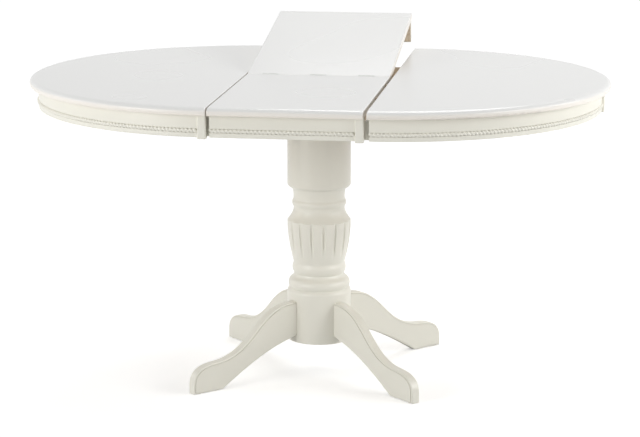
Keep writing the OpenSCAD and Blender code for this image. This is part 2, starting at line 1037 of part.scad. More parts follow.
// The two runners of the right half
module runners() {
    front_and_rear()
        difference() {
            union() {
                translate([runner_x, runner_in, rail_z])
                    cube([runner_l, rail_t, rail_h]);
                translate([runner_x, runner_in - slide_gap - tongue_depth, tongue_z - tongue_h / 2])
                    cube([runner_l, tongue_depth + slide_gap + overcut, tongue_h]);
            }
            for (x = runner_screw_x)
                translate([runner_x + x, runner_in + rail_t / 2, rail_z - overcut]) {
                    cylinder(r = screw_r + screw_fit, h = rail_h + 2 * overcut, $fn = 32);
                    cylinder(r = screw_head_r + screw_fit, h = screw_head_t + overcut + glue_fit, $fn = 32);
                }
        }
}

module runner_screws() {
    front_and_rear()
        for (x = runner_screw_x)
            translate([runner_x + x, runner_in + rail_t / 2, rail_z]) {
                cylinder(r = screw_head_r, h = screw_head_t, $fn = 32);
                cylinder(r = screw_r, h = runner_screw_l, $fn = 32);
            }
}

// Holes in the right half-top for the runner screws
module runner_screw_holes() {
    front_and_rear()
        for (x = runner_screw_x)
            translate([runner_x + x, runner_in + rail_t / 2, under_top - overcut])
                cylinder(r = screw_r + screw_fit, h = runner_screw_bite + 2 * overcut, $fn = 32);
}

module left_runners() {
    color("burlywood")
        mirror([1, 0, 0])
            runners();
}

module right_runners() {
    color("burlywood")
        runners();
}

module left_screws() {
    color("silver")
        mirror([1, 0, 0])
            runner_screws();
}

module right_screws() {
    color("silver")
        runner_screws();
}

// Half the width of a rack tooth at height h above its pitch line, with the teeth pointing down
function rack_half(h) = tooth_pitch / 4 - flank_play + h * tan(pressure);

// A rack that hangs over the pinion, from x0 to x1, with a tooth gap at x = 0
module rack_outline(x0, x1) {
    first = ceil(rack_start / tooth_pitch);
    last = floor(rack_past / tooth_pitch) - 1;
    translate([x0, pitch_r + dedendum])
        square([x1 - x0, rack_bar - dedendum]);
    for (i = [first : last])
        translate([(i + 0.5) * tooth_pitch, pitch_r])
            polygon([
                [-rack_half(dedendum), dedendum + tooth_lap],
                [-rack_half(-addendum), -addendum],
                [rack_half(-addendum), -addendum],
                [rack_half(dedendum), dedendum + tooth_lap]
            ]);
}

module rack() {
    translate([0, gear_back + rack_t, pinion_z])
        rotate([90, 0, 0])
            linear_extrude(rack_t)
                rack_outline(-runner_x - rack_lap, rack_past);
}

// The left racks lie above the pinions, the right ones below them
module left_racks() {
    color("silver")
        front_and_rear()
            rack();
}

module right_racks() {
    color("silver")
        front_and_rear()
            translate([0, 0, pinion_z])
                rotate([0, 180, 0])
                    translate([0, 0, -pinion_z])
                        rack();
}

// Half the angle that a pinion tooth spans at radius r
base_circle = pitch_r * cos(pressure);
function involute(a) = tan(a) * 180 / PI - a;
function tooth_half(r) =
    90 / pinion_teeth - flank_play / pitch_r * 180 / PI
    + involute(pressure) - involute(acos(min(1, base_circle / r)));

flank_radii = [
    pitch_r - dedendum, base_circle, pitch_r - addendum / 4, pitch_r + addendum / 3,
    pitch_r + addendum * 2 / 3, pitch_r + addendum
];

function on_circle(r, a) = [r * cos(a), r * sin(a)];

module pinion_outline() {
    polygon([
        for (i = [0 : pinion_teeth - 1])
            let (mid = 90 + i * 360 / pinion_teeth)
                each concat(
                    [for (r = flank_radii) on_circle(r, mid - tooth_half(r))],
                    [for (j = [len(flank_radii) - 1 : -1 : 0])
                        on_circle(flank_radii[j], mid + tooth_half(flank_radii[j]))]
                )
    ]);
}

module pinion() {
    translate([0, gear_back + rack_t - pinion_play, pinion_z])
        rotate([90, 0, 0])
            difference() {
                linear_extrude(rack_t - 2 * pinion_play)
                    pinion_outline();
                translate([0, 0, -overcut])
                    cylinder(d = axle_d + 2 * running_fit, h = rack_t + 2 * overcut);
            }
}

module pinion_front() {
    color("white")
        mirror([0, 1, 0])
            pinion();
}

module pinion_rear() {
    color("white")
        pinion();
}

// ---- half-round tops ----

module half_top() {
    difference() {
        around_half()
            top_section(0);
        runner_screw_holes();
    }
}

module left_top() {
    color("whitesmoke")
        difference() {
            mirror([1, 0, 0])
                half_top();
            dowel_hole(-half_x, -1, dowel_out - left_gap + dowel_room);
        }
}

module right_top() {
    color("whitesmoke")
        difference() {
            half_top();
            dowel_hole(half_x, 1, dowel_in);
        }
}

module right_dowels() {
    color("burlywood")
        for (y = dowel_rows)
            translate([half_x - dowel_out, y, dowel_z])
                rotate([0, 90, 0])
                    cylinder(d = dowel_d, h = dowel_l, $fn = 48);
}

// Room at the tip of the right half for its cover block
module tip_room() {
    at_tip()
        block_room();
}

// Cuts away what lies nearer to the joint than x
module trim_to(x) {
    translate([0, -round_r, 0])
        cube([x, 2 * round_r, table_h]);
}

module half_ring(end_x) {
    difference() {
        around_half()
            children();
        tip_room();
        trim_to(end_x);
    }
}

module left_apron() {
    color("ivory")
        mirror([1, 0, 0])
            difference() {
                half_ring(left_start)
                    apron_section();
                front_and_rear()
                    translate([left_start, 0, 0])
                        block_room();
            }
}

module right_apron() {
    color("ivory")
        half_ring(right_start)
            apron_section();
}

module left_rope() {
    color("ivory")
        mirror([1, 0, 0])
            half_ring(left_rope_start)
                rope_section();
}

module right_rope() {
    color("ivory")
        half_ring(right_start)
            rope_section();
}

// Battens that line up the aprons of a half with those of the leaf
module battens() {
    front_and_rear()
        translate([half_x - batten_past, batten_y, apron_z])
            cube([batten_past + batten_in, batten_t, apron_h - batten_room]);
}

module left_battens() {
    color("ivory")
        mirror([1, 0, 0])
            battens();
}

module right_battens() {
    color("ivory")
        battens();
}

module left_blocks() {
    color("ivory")
        mirror([1, 0, 0]) {
            front_and_rear()
                translate([left_start, 0, 0])
                    cover_block();
            at_tip()
                cover_block();
        }
}

module right_block() {
    color("ivory")
        at_tip()
            cover_block();
}

// ---- the parts ----

column();
leg_front_left();
leg_front_right();
leg_rear_left();
leg_rear_right();
leg_bolts();
leg_nuts();
foot_glides();
column_plate();
plate_screws();
bearer_front();
bearer_rear();
cross_rail_left();
cross_rail_right();
fixed_rail_front();
fixed_rail_rear();
rail_screws();
pinion_axles();
axle_spacers();
front_leaf();
front_leaf_apron();
front_leaf_rope();
front_leaf_block();
leaf_dowels();
leaf_keepers();
hinge_front_plates();
hinge_pins();
rear_leaf();
rear_leaf_apron();
rear_leaf_rope();
rear_leaf_block();
hinge_rear_plates();
left_top();
left_apron();
left_rope();
left_blocks();
left_battens();
left_runners();
left_racks();
left_screws();
left_button_plate();
left_button_rivet();
left_turn_button();
right_top();
right_apron();
right_rope();
right_block();
right_battens();
right_runners();
right_racks();
right_screws();
right_dowels();
right_button_plate();
right_button_rivet();
right_turn_button();
pinion_front();
pinion_rear();
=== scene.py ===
# Dresses the extending dining table: lacquered tops and aprons, rope mouldings,
# a turned and fluted column, curved legs, and the wooden frame under the top.

import json
import math

import bmesh
import bpy
from bpy.props import FloatProperty, FloatVectorProperty, IntProperty, PointerProperty
from mathutils import Matrix, Vector

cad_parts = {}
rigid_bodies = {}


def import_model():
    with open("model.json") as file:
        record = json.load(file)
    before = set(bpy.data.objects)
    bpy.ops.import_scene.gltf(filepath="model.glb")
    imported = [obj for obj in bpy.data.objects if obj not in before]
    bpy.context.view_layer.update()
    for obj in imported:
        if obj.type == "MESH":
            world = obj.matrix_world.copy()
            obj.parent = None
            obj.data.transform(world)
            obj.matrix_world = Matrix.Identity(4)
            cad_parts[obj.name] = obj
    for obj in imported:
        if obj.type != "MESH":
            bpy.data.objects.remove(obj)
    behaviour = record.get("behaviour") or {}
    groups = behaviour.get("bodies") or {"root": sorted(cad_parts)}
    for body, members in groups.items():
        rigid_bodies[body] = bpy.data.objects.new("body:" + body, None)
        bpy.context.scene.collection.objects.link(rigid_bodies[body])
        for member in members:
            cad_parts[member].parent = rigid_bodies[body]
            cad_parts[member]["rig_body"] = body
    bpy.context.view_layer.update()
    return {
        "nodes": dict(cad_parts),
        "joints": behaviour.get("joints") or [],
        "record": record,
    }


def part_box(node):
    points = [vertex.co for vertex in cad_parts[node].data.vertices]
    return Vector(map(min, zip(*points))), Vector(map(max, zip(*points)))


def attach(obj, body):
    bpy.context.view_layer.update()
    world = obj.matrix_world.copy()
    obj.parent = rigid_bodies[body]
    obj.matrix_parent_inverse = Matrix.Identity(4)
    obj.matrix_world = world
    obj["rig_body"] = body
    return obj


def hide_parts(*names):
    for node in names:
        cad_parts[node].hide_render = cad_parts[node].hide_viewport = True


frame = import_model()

bl_info = {
    "name": "Extending Dining Table",
    "version": (1, 0, 0),
    "blender": (4, 5, 0),
    "location": "View3D > Sidebar > Table",
    "description": "Models and finishes a round pedestal dining table with a fold-over leaf",
    "category": "Object",
}

MM = 0.001
WELD = 0.01 * MM

# ---- places taken from the solids ----

HALF_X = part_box("right_top")[0].x
UNDER_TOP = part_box("front_leaf")[0].z
EDGE_OUT = -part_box("front_leaf")[0].y
APRON_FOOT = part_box("front_leaf_apron")[0].z
ROPE_OUT = -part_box("front_leaf_rope")[0].y
ROPE_Z = (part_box("front_leaf_rope")[0].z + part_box("front_leaf_rope")[1].z) / 2
HINGE = next(j for j in frame["joints"] if j["name"] == "leaf_fold")
LEAF_TURN = (
    Matrix.Translation(HINGE["pos_m"])
    @ Matrix.Rotation(-math.radians(HINGE["range_deg"][0]), 4, "X")
    @ Matrix.Translation(-Vector(HINGE["pos_m"]))
)


def linear(code):
    """An sRGB hex colour as a linear one with alpha."""
    parts = [int(code[i:i + 2], 16) / 255 for i in (0, 2, 4)]
    return (*(p / 12.92 if p <= 0.04045 else ((p + 0.055) / 1.055) ** 2.4 for p in parts), 1.0)


# ---- settings ----

class TableShape(bpy.types.PropertyGroup):
    """Sizes of the details that are modelled on the solids"""

    rope_pitch: FloatProperty(
        name="Rope pitch", description="Distance between two strands of the rope moulding",
        default=9.4 * MM, min=5 * MM, max=20 * MM, unit="LENGTH", precision=4)
    rope_slope: FloatProperty(
        name="Rope slope", description="Slope of the strands of the rope moulding",
        default=math.radians(43), min=0.2, max=1.2, subtype="ANGLE")
    strand_length: FloatProperty(
        name="Strand length", description="Length of one strand of the rope moulding",
        default=13.6 * MM, min=8 * MM, max=25 * MM, unit="LENGTH", precision=4)
    strand_width: FloatProperty(
        name="Strand width", description="Width of one strand of the rope moulding",
        default=7.4 * MM, min=3 * MM, max=12 * MM, unit="LENGTH", precision=4)
    flutes: IntProperty(
        name="Flutes", description="Number of flutes around the vase of the column",
        default=16, min=8, max=32)
    flute_radius: FloatProperty(
        name="Flute radius", description="Radius of the round cutter of the flutes",
        default=3.6 * MM, min=2 * MM, max=6 * MM, unit="LENGTH", precision=4)
    reed_crown: FloatProperty(
        name="Reed crown", description="How far the reeds between the flutes are rounded",
        default=0.9 * MM, min=0, max=3 * MM, unit="LENGTH", precision=4)
    leg_round: FloatProperty(
        name="Leg rounding", description="Radius on the long edges of the legs",
        default=4.0 * MM, min=1 * MM, max=8 * MM, unit="LENGTH", precision=4)
    leg_step: FloatProperty(
        name="Leg step", description="Height of the small step beside the rounded edge of a leg",
        default=1.2 * MM, min=0.1 * MM, max=3 * MM, unit="LENGTH", precision=4)
    leg_quirk: FloatProperty(
        name="Leg quirk", description="Width and depth of the fine groove beside the rounded edge",
        default=1.3 * MM, min=0.1 * MM, max=4 * MM, unit="LENGTH", precision=4)
    joint_round: FloatProperty(
        name="Joint rounding", description="Radius on the edges of the boards along the joints",
        default=3.0 * MM, min=0.5 * MM, max=6 * MM, unit="LENGTH", precision=4)
    arris: FloatProperty(
        name="Arris", description="Width of the eased edges of aprons, blocks and rails",
        default=1.0 * MM, min=0.2 * MM, max=3 * MM, unit="LENGTH", precision=4)


class TableFinish(bpy.types.PropertyGroup):
    """Colours and gloss of the finishes"""

    top: FloatVectorProperty(
        name="Top lacquer", description="Colour of the lacquer on the tops and the leaf",
        subtype="COLOR", size=4, min=0, max=1, default=linear("EAEAE8"))
    coat: FloatVectorProperty(
        name="Thin coat", description="Colour of the thin coat on the joints and undersides",
        subtype="COLOR", size=4, min=0, max=1, default=linear("EFE9E0"))
    ivory: FloatVectorProperty(
        name="Ivory lacquer", description="Colour of the lacquer on aprons, column and legs",
        subtype="COLOR", size=4, min=0, max=1, default=linear("E7E5DA"))
    wood: FloatVectorProperty(
        name="Bare wood", description="Lighter colour of the unpainted wood",
        subtype="COLOR", size=4, min=0, max=1, default=linear("E4D5C1"))
    wood_dark: FloatVectorProperty(
        name="Wood figure", description="Darker colour in the figure of the unpainted wood",
        subtype="COLOR", size=4, min=0, max=1, default=linear("CFBBA0"))
    top_roughness: FloatProperty(
        name="Top roughness", description="Roughness of the lacquer on the tops",
        default=0.28, min=0.05, max=1, subtype="FACTOR")
    ivory_roughness: FloatProperty(
        name="Ivory roughness", description="Roughness of the lacquer on aprons, column and legs",
        default=0.33, min=0.05, max=1, subtype="FACTOR")


class TableStage(bpy.types.PropertyGroup):
    """Camera and light"""

    azimuth: FloatProperty(
        name="Azimuth", description="Camera's turn to the right of the front",
        default=math.radians(8.21), subtype="ANGLE")
    elevation: FloatProperty(
        name="Elevation", description="Camera's angle above the horizon",
        default=math.radians(12.16), subtype="ANGLE")
    distance: FloatProperty(
        name="Distance", description="Distance from the camera to the point it looks at",
        default=5.612, min=1, max=20, unit="LENGTH")
    lens: FloatProperty(
        name="Lens", description="Focal length of the camera in millimetres",
        default=126.26, min=20, max=300)
    aim: FloatVectorProperty(
        name="Aim", description="Point the camera looks at",
        default=(0.0022, 0, 0.3882), size=3, subtype="XYZ", unit="LENGTH")
    sky: FloatProperty(
        name="Sky", description="Strength of the even light from all sides",
        default=0.35, min=0, max=3)
    left_lamp: FloatProperty(
        name="Left lamp", description="Power of the softbox at the left, in watts",
        default=16, min=0, max=500)
    front_lamp: FloatProperty(
        name="Front lamp", description="Power of the low softbox at the left of the front, in watts",
        default=74, min=0, max=500)
    right_lamp: FloatProperty(
        name="Right lamp", description="Power of the softbox at the right, in watts",
        default=40, min=0, max=500)
    right_front_lamp: FloatProperty(
        name="Right front lamp", description="Power of the softbox at the right of the front, in watts",
        default=62, min=0, max=500)
    rear_lamp: FloatProperty(
        name="Rear lamp", description="Power of the softbox behind the table, in watts",
        default=51, min=0, max=500)
    high_lamp: FloatProperty(
        name="High lamp", description="Power of the small softbox above the table, in watts",
        default=9, min=0, max=500)
    floor_bounce: FloatProperty(
        name="Floor bounce", description="Share of the light that the floor throws back up",
        default=0.83, min=0, max=1)
    floor_glow: FloatProperty(
        name="Floor glow", description="How much the floor near the table is brightened for the camera",
        default=0.4, min=0, max=1)
    backdrop_glow: FloatProperty(
        name="Backdrop glow", description="How much the floor far behind is brightened for the camera",
        default=0.7, min=0, max=1)


# ---- nodes and materials ----

def add_node(tree, kind, inputs=None, links=None, **settings):
    """Adds one node with its settings, its sockets' values and its incoming links."""
    node = tree.nodes.new(kind)
    for key, value in settings.items():
        setattr(node, key, value)
    for socket, value in (inputs or {}).items():
        node.inputs[socket].default_value = value
    for socket, source in (links or {}).items():
        tree.links.new(source, node.inputs[socket])
    return node


def start_material(name):
    """An empty node material, its tree and its object coordinates."""
    material = bpy.data.materials.get(name)
    if material:
        return material, None, None
    material = bpy.data.materials.new(name)
    material.use_nodes = True
    tree = material.node_tree
    tree.nodes.clear()
    coords = add_node(tree, "ShaderNodeTexCoord")
    return material, tree, coords


def close_material(tree, shader):
    add_node(tree, "ShaderNodeOutputMaterial", links={"Surface": shader.outputs[0]})


def shade(colour, factor):
    """A linear colour made darker or lighter."""
    return (*(min(1, c * factor) for c in colour[:3]), 1.0)


def lacquer_shader(tree, coords, colour, roughness):
    """Sprayed pigmented lacquer: even colour, a faint cloudiness and a fine orange-peel surface."""
    cloud = add_node(
        tree, "ShaderNodeTexNoise", {"Scale": 3.0, "Detail": 0.0},
        {"Vector": coords.outputs["Object"]})
    tint = add_node(
        tree, "ShaderNodeMix", {6: shade(colour, 0.985), 7: shade(colour, 1.0)},
        {0: cloud.outputs["Fac"]}, data_type="RGBA")
    # Orange peel on sprayed boards is about 2 mm from crest to crest, drawn at 4 mm to show
    peel = add_node(
        tree, "ShaderNodeTexNoise", {"Scale": 250.0, "Detail": 2.0},
        {"Vector": coords.outputs["Object"]})
    gloss = add_node(
        tree, "ShaderNodeMapRange",
        {"From Min": 0.3, "From Max": 0.7, "To Min": roughness - 0.015, "To Max": roughness + 0.015},
        {"Value": cloud.outputs["Fac"]})
    bump = add_node(
        tree, "ShaderNodeBump", {"Strength": 0.2, "Distance": 0.02 * MM},
        {"Height": peel.outputs["Fac"]})
    return add_node(
        tree, "ShaderNodeBsdfPrincipled", {"IOR": 1.49},
        {"Base Color": tint.outputs[2], "Roughness": gloss.outputs[0], "Normal": bump.outputs[0]})


def wood_shader(tree, coords, grain):
    """Planed rubberwood: straight figure along the grain and short dark pores."""
    finish = bpy.context.scene.table_finish
    stretch = {"X": (4.0, 70.0, 70.0), "Y": (70.0, 4.0, 70.0)}[grain]
    fine = {"X": (45.0, 900.0, 900.0), "Y": (900.0, 45.0, 900.0)}[grain]
    laid = add_node(
        tree, "ShaderNodeMapping", {"Scale": stretch}, {"Vector": coords.outputs["Object"]})
    figure = add_node(
        tree, "ShaderNodeTexNoise", {"Scale": 1.0, "Detail": 6.0, "Roughness": 0.6, "Distortion": 0.6},
        {"Vector": laid.outputs[0]})
    spread = add_node(
        tree, "ShaderNodeMapRange", {"From Min": 0.35, "From Max": 0.68},
        {"Value": figure.outputs["Fac"]})
    colour = add_node(
        tree, "ShaderNodeMix", {6: tuple(finish.wood), 7: tuple(finish.wood_dark)},
        {0: spread.outputs[0]}, data_type="RGBA")
    pores_laid = add_node(
        tree, "ShaderNodeMapping", {"Scale": fine}, {"Vector": coords.outputs["Object"]})
    pores = add_node(
        tree, "ShaderNodeTexNoise", {"Scale": 1.0, "Detail": 2.0}, {"Vector": pores_laid.outputs[0]})
    flecks = add_node(
        tree, "ShaderNodeMapRange", {"From Min": 0.6, "From Max": 0.72, "To Max": 0.55},
        {"Value": pores.outputs["Fac"]})
    stained = add_node(
        tree, "ShaderNodeMix", {7: shade(finish.wood_dark, 0.6)},
        {0: flecks.outputs[0], 6: colour.outputs[2]}, data_type="RGBA")
    bump = add_node(
        tree, "ShaderNodeBump", {"Strength": 0.5, "Distance": 0.15 * MM},
        {"Height": pores.outputs["Fac"]}, invert=True)
    return add_node(
        tree, "ShaderNodeBsdfPrincipled", {"Roughness": 0.62, "IOR": 1.5},
        {"Base Color": stained.outputs[2], "Normal": bump.outputs[0]})


def ivory_lacquer():
    """Satin ivory lacquer on turned and shaped rubberwood: creamy, with soft highlights."""
    material, tree, coords = start_material("satin_ivory_lacquer")
    if tree:
        finish = bpy.context.scene.table_finish
        close_material(tree, lacquer_shader(tree, coords, finish.ivory, finish.ivory_roughness))
    return material


def underside_painted_shade():
    # Painted shade: the undersides of the legs get a flat, darker grey instead of the ivory lacquer
    return plain_material("painted_shade_grey", linear("C2C0B4"), 0.7, grit=300.0, contrast=0.04)


def planed_wood(grain):
    """Unpainted planed rubberwood with its grain along X or Y."""
    material, tree, coords = start_material("planed_rubberwood_" + grain.lower())
    if tree:
        close_material(tree, wood_shader(tree, coords, grain))
    return material


def lacquered_board():
    """Satin white lacquer on the face of a board; the farther a face turns from looking up, as on the
    moulded edge, the joint faces and the underside, the more it takes the warmer, paler coat colour."""
    material, tree, coords = start_material("satin_white_lacquered_board")
    if not tree:
        return material
    finish = bpy.context.scene.table_finish
    facing = add_node(tree, "ShaderNodeSeparateXYZ", links={0: coords.outputs["Normal"]})
    # Blends from the white lacquer to the coat colour as a face turns from looking up
    thin = add_node(
        tree, "ShaderNodeMapRange", {"From Min": 0.75, "From Max": -0.25},
        {"Value": facing.outputs[2]})
    paint = lacquer_shader(tree, coords, finish.top, finish.top_roughness)
    coat = lacquer_shader(tree, coords, finish.coat, finish.ivory_roughness)
    close_material(tree, add_node(
        tree, "ShaderNodeMixShader",
        links={0: thin.outputs[0], 1: paint.outputs[0], 2: coat.outputs[0]}))
    return material


def plain_material(name, colour, roughness, metallic=0.0, grit=300.0, depth=0.03, contrast=0.06, ior=1.5):
    """A small fitting's finish: its colour and roughness vary a little, with a fine grit."""
    material, tree, coords = start_material(name)
    if not tree:
        return material
    spots = add_node(
        tree, "ShaderNodeTexNoise", {"Scale": grit, "Detail": 3.0},
        {"Vector": coords.outputs["Object"]})
    tone = add_node(
        tree, "ShaderNodeMix", {6: shade(colour, 1 - contrast), 7: shade(colour, 1 + contrast)},
        {0: spots.outputs["Fac"]}, data_type="RGBA")
    gloss = add_node(
        tree, "ShaderNodeMapRange", {"To Min": roughness - 0.06, "To Max": roughness + 0.06},
        {"Value": spots.outputs["Fac"]})
    bump = add_node(
        tree, "ShaderNodeBump", {"Strength": 0.4, "Distance": depth * MM},
        {"Height": spots.outputs["Fac"]})
    close_material(tree, add_node(
        tree, "ShaderNodeBsdfPrincipled", {"Metallic": metallic, "IOR": ior},
        {"Base Color": tone.outputs[2], "Roughness": gloss.outputs[0], "Normal": bump.outputs[0]}))
    return material


def zinc_plated_steel():
    # Zinc plate: cool grey metal with cloudy patches a few millimetres wide
    return plain_material(
        "zinc_plated_steel", linear("C4C7CA"), 0.4, metallic=1.0, grit=180.0, contrast=0.12)


def black_powder_coat():
    # Powder coat: near black, fine-grained and dull
    return plain_material(
        "black_powder_coat", linear("2C2C2D"), 0.55, grit=900.0, depth=0.08, contrast=0.2)


def white_painted_hinge():
    # Brass hinge painted to match the top: white, slightly glossier than the board
    return plain_material("white_painted_hinge", linear("E6E6E3"), 0.32, grit=500.0, contrast=0.02)


def moulded_nylon():
    # Moulded nylon: milky off-white with a soft sheen
    return plain_material("moulded_nylon", linear("E9E5D9"), 0.45, grit=220.0, contrast=0.03, ior=1.53)


def glide_plastic():
    # Polyethylene glide: milky white, scuffed dull
    return plain_material("glide_polyethylene", linear("DDD9CE"), 0.6, grit=400.0, contrast=0.08)


# ---- mesh helpers ----

def merged_copy(node):
    """A welded copy of a solid's mesh, with its flat faces in one piece."""
    bm = bmesh.new()
    bm.from_mesh(frame["nodes"][node].data)
    bmesh.ops.remove_doubles(bm, verts=bm.verts[:], dist=WELD)
    bmesh.ops.dissolve_limit(
        bm, angle_limit=math.radians(0.4), use_dissolve_boundaries=False,
        verts=bm.verts[:], edges=bm.edges[:], delimit={"NORMAL"})
    return bm


def sharp_edges(bm, angle, longer_than=0.0):
    """Edges with at least this angle between their faces, in radians."""
    return [
        e for e in bm.edges
        if len(e.link_faces) == 2 and e.calc_face_angle(0) > angle and e.calc_length() > longer_than
    ]


def ease(bm, edges, width, segments=2, clamp=True):
    """Rounds the edges that are given."""
    bmesh.ops.bevel(
        bm, geom=edges, offset=width, offset_type="OFFSET", affect="EDGES", segments=segments,
        profile=0.5, material=-1, clamp_overlap=clamp)


def finish_piece(bm, name, nodes, materials, crease=34):
    """Makes the object, shades it, and lets it stand for its solids on their body."""
    for e in bm.edges:
        e.smooth = len(e.link_faces) == 2 and e.calc_face_angle(0) < math.radians(crease)
    for f in bm.faces:
        f.smooth = True
    mesh = bpy.data.meshes.new(name)
    bm.to_mesh(mesh)
    bm.free()
    piece = bpy.data.objects.new(name, mesh)
    bpy.context.scene.collection.objects.link(piece)
    for material in materials:
        mesh.materials.append(material)
    even = piece.modifiers.new("Even shading", "WEIGHTED_NORMAL")
    even.keep_sharp = True
    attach(piece, frame["nodes"][nodes[0]]["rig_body"])
    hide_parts(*nodes)
    return piece


def outward(point):
    """The way out of the table's oval plan at a point."""
    way = Vector((point.x - max(-HALF_X, min(HALF_X, point.x)), point.y, 0))
    return way.normalized() if way.length > 0 else Vector((0, -1, 0))


def arc(start, end, bulge, steps):
    """Points on an arc that bulges to the right of the way from start to end, end left out."""
    start, end = Vector(start), Vector(end)
    way = end - start
    reach = way.length
    out = Vector((way.y, -way.x)) / reach
    radius = (reach * reach / 4 + bulge * bulge) / (2 * abs(bulge))
    half = math.asin(reach / (2 * radius))
    side = math.copysign(1, bulge)
    centre = (start + end) / 2 + out * (bulge - side * radius)
    points = []
    for i in range(steps):
        a = half * (2 * i / steps - 1)
        points.append(centre + out * side * radius * math.cos(a) + way / reach * radius * math.sin(a))
    return points


# ---- pieces ----

class TABLE_OT_stage(bpy.types.Operator):
    """Sets up the camera, the soft light and the pale floor"""

    bl_idname = "table.stage"
    bl_label = "Stage"

    lit_point = Vector((0, 0, 0.45))
    lamp_distance = 4.4
    wide_box, small_box = 1.8, 1.0
    # Where the floor's glow starts to change and where it has changed, from the table's axis
    near, far = 1.2, 6.0
    floor_size = 60

    def execute(self, context):
        scene = context.scene
        stage = scene.table_stage
        scene.view_settings.view_transform = "Standard"
        back = Vector((
            math.sin(stage.azimuth) * math.cos(stage.elevation),
            -math.cos(stage.azimuth) * math.cos(stage.elevation),
            math.sin(stage.elevation)))
        data = bpy.data.cameras.new("camera")
        data.lens = stage.lens
        camera = bpy.data.objects.new("camera", data)
        camera.location = Vector(stage.aim) + back * stage.distance
        camera.rotation_euler = (-back).to_track_quat("-Z", "Y").to_euler()
        scene.collection.objects.link(camera)
        scene.camera = camera

        self.add_lamp(scene, "left_softbox", stage.left_lamp, -90, 20, self.wide_box)
        self.add_lamp(scene, "front_softbox", stage.front_lamp, -43, 12, self.wide_box)
        self.add_lamp(scene, "right_front_softbox", stage.right_front_lamp, 72, 18, self.wide_box)
        self.add_lamp(scene, "right_softbox", stage.right_lamp, 100, 20, self.wide_box)
        self.add_lamp(scene, "rear_softbox", stage.rear_lamp, 178, 50, self.wide_box)
        self.add_lamp(scene, "high_softbox", stage.high_lamp, 0, 89, self.small_box)
        self.add_world(scene, stage.sky)
        self.add_floor(scene, stage)
        return {"FINISHED"}

    def add_lamp(self, scene, name, power, azimuth, elevation, size):
        """A softbox that faces the table, placed by its turn from the front and its height angle."""
        turn, rise = math.radians(azimuth), math.radians(elevation)
        way = Vector((
            math.sin(turn) * math.cos(rise), -math.cos(turn) * math.cos(rise), math.sin(rise)))
        data = bpy.data.lights.new(name, "AREA")
        data.energy = power
        data.size = size
        lamp = bpy.data.objects.new(name, data)
        lamp.location = self.lit_point + way * self.lamp_distance
        lamp.rotation_euler = (-way).to_track_quat("-Z", "Y").to_euler()
        lamp.visible_camera = False
        scene.collection.objects.link(lamp)

    def seen_directly(self, tree):
        """Is the ray from the camera, a reflection or through glass?"""
        path = add_node(tree, "ShaderNodeLightPath")
        shiny = add_node(
            tree, "ShaderNodeMath", operation="MAXIMUM",
            links={0: path.outputs["Is Camera Ray"], 1: path.outputs["Is Glossy Ray"]})
        return add_node(
            tree, "ShaderNodeMath", operation="MAXIMUM",
            links={0: shiny.outputs[0], 1: path.outputs["Is Transmission Ray"]})

    def add_world(self, scene, strength):
        world = scene.world or bpy.data.worlds.new("studio")
        scene.world = world
        world.use_nodes = True
        tree = world.node_tree
        tree.nodes.clear()
        white = (1.0, 1.0, 1.0, 1.0)
        light = add_node(tree, "ShaderNodeBackground", {"Color": white, "Strength": strength})
        backdrop = add_node(tree, "ShaderNodeBackground", {"Color": white, "Strength": 1.0})
        mixed = add_node(tree, "ShaderNodeMixShader", links={
            0: self.seen_directly(tree).outputs[0], 1: light.outputs[0], 2: backdrop.outputs[0]})
        add_node(tree, "ShaderNodeOutputWorld", links={"Surface": mixed.outputs[0]})

    def add_floor(self, scene, stage):
        """A pale floor, which the camera sees white, the whiter the farther behind."""
        material, tree, coords = start_material("white_studio_floor")
        matt = add_node(tree, "ShaderNodeBsdfDiffuse", {"Color": (0.86, 0.86, 0.86, 1.0)})
        bounce = (stage.floor_bounce,) * 3 + (1.0,)
        dimmer = add_node(tree, "ShaderNodeBsdfDiffuse", {"Color": bounce})
        away = add_node(
            tree, "ShaderNodeVectorMath", links={0: coords.outputs["Object"]}, operation="LENGTH")
        glow = add_node(
            tree, "ShaderNodeMapRange",
            {"From Min": self.near, "From Max": self.far, "To Min": stage.floor_glow,
             "To Max": stage.backdrop_glow},
            {"Value": away.outputs["Value"]}, interpolation_type="SMOOTHSTEP")
        light = add_node(
            tree, "ShaderNodeEmission", {"Color": (1.0, 1.0, 1.0, 1.0)},
            {"Strength": glow.outputs[0]})
        lit = add_node(tree, "ShaderNodeAddShader", links={0: matt.outputs[0], 1: light.outputs[0]})
        close_material(tree, add_node(tree, "ShaderNodeMixShader", links={
            0: self.seen_directly(tree).outputs[0], 1: dimmer.outputs[0], 2: lit.outputs[0]}))
        bm = bmesh.new()
        bmesh.ops.create_grid(bm, x_segments=1, y_segments=1, size=self.floor_size)
        mesh = bpy.data.meshes.new("floor")
        bm.to_mesh(mesh)
        bm.free()
        mesh.materials.append(material)
        floor = bpy.data.objects.new("floor", mesh)
        scene.collection.objects.link(floor)


